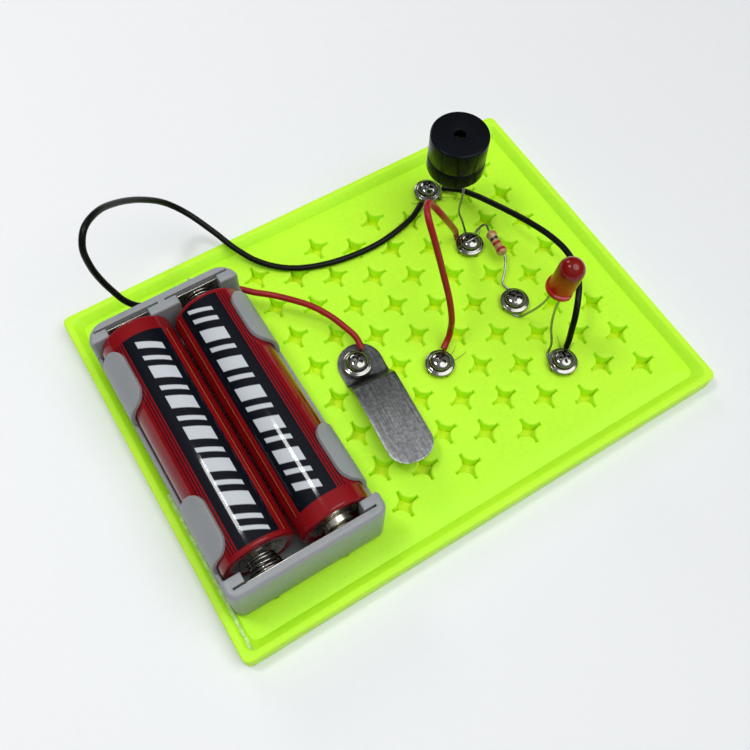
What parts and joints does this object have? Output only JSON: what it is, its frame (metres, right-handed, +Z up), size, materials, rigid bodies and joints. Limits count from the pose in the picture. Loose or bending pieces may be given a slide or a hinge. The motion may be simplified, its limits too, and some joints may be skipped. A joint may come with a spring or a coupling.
{
  "type": "telegraph transmitter model",
  "caption": "Classroom telegraph sender: a springy strip key, buzzer, lamp and resistor wired with jumper leads to screw terminals on a star-perforated board with a cell holder.",
  "frame": {"origin": "centre of the board's underside, on the table", "axes": "+X along the board's long front edge, +Y to the back edge, +Z up"},
  "size_m": [0.107, 0.0883, 0.0329],
  "materials": {
    "board_lime": "moulded fluorescent lime, satin",
    "foam": "white foam tape, rough",
    "holder_grey": "frosted translucent grey-white",
    "cell_can": "bright can end",
    "cell_sleeve": "printed red and black film, glossy",
    "cell_cap": "bright plated cap",
    "cell_seal": "black seal washer",
    "contact_steel": "nickel plated, slightly dull",
    "spring_steel": "nickel plated spring wire",
    "key_steel": "brushed along its length",
    "screw_nickel": "bright nickel",
    "copper": "twisted copper strands",
    "buzzer_black": "satin black",
    "buzzer_board": "circuit board",
    "magnet_iron": "ferrite, matte",
    "coil_copper": "enamelled copper wire",
    "lead_tin": "tinned lead wire",
    "lens_red": "diffused red epoxy, glossy",
    "chip": "light-emitting chip",
    "resistor_tan": "lacquer with colour bands",
    "wire_black": "glossy black insulation",
    "wire_red": "glossy red insulation"
  },
  "bodies": {
    "base": {"base_board": "board_lime", "mounting_tape": "foam", "battery_holder": "holder_grey", "left_snap_tabs": "holder_grey", "right_snap_tabs": "holder_grey", "positive_plate": "contact_steel", "negative_plate": "contact_steel", "bridge_plate": "contact_steel", "back_spring": "spring_steel", "front_spring": "spring_steel", "key_screw": "screw_nickel", "terminal_screws": "screw_nickel", "stripped_wire_ends": "copper", "buzzer_case": "buzzer_black", "buzzer_base": "buzzer_board", "buzzer_magnet": "magnet_iron", "buzzer_coil": "coil_copper", "buzzer_core": "magnet_iron", "buzzer_diaphragm": "contact_steel", "buzzer_minus_leg": "lead_tin", "buzzer_plus_leg": "lead_tin", "led_lens": "lens_red", "led_anode_lead": "lead_tin", "led_cathode_lead": "lead_tin", "led_chip": "chip", "resistor_body": "resistor_tan", "resistor_leads": "lead_tin", "black_battery_wire": "wire_black", "red_battery_wire": "wire_red", "red_jumper": "wire_red", "black_jumper": "wire_black"},
    "left_cell": {"left_cell_can": "cell_can", "left_cell_sleeve": "cell_sleeve", "left_cell_cap": "cell_cap", "left_cell_seal": "cell_seal"},
    "right_cell": {"right_cell_can": "cell_can", "right_cell_sleeve": "cell_sleeve", "right_cell_cap": "cell_cap", "right_cell_seal": "cell_seal"},
    "key_foot": {"key_foot": "key_steel"},
    "key_blade": {"key_blade": "key_steel"}
  },
  "joints": [
    {"name": "key_swivel", "type": "hinge", "parent": "base", "child": "key_foot", "pos_m": [-0.00719, 0, 0.0031], "axis": [0, 0, 1], "range_deg": [-8, 60]},
    {"name": "key_press", "type": "hinge", "parent": "key_foot", "child": "key_blade", "pos_m": [-0.00775, -0.00587, 0.00653], "axis": [0.9954, -0.0958, 0], "range_deg": [0, 6.5], "stiffness_Nm_per_rad": 0.01, "springref_deg": -1.15},
    {"name": "left_cell_lift", "type": "slide", "parent": "base", "child": "left_cell", "axis": [0, 0, 1], "range_m": [0, 0.018], "deforming": ["left_snap_tabs"]},
    {"name": "right_cell_lift", "type": "slide", "parent": "base", "child": "right_cell", "axis": [0, 0, 1], "range_m": [0, 0.018], "deforming": ["right_snap_tabs"]}
  ]
}
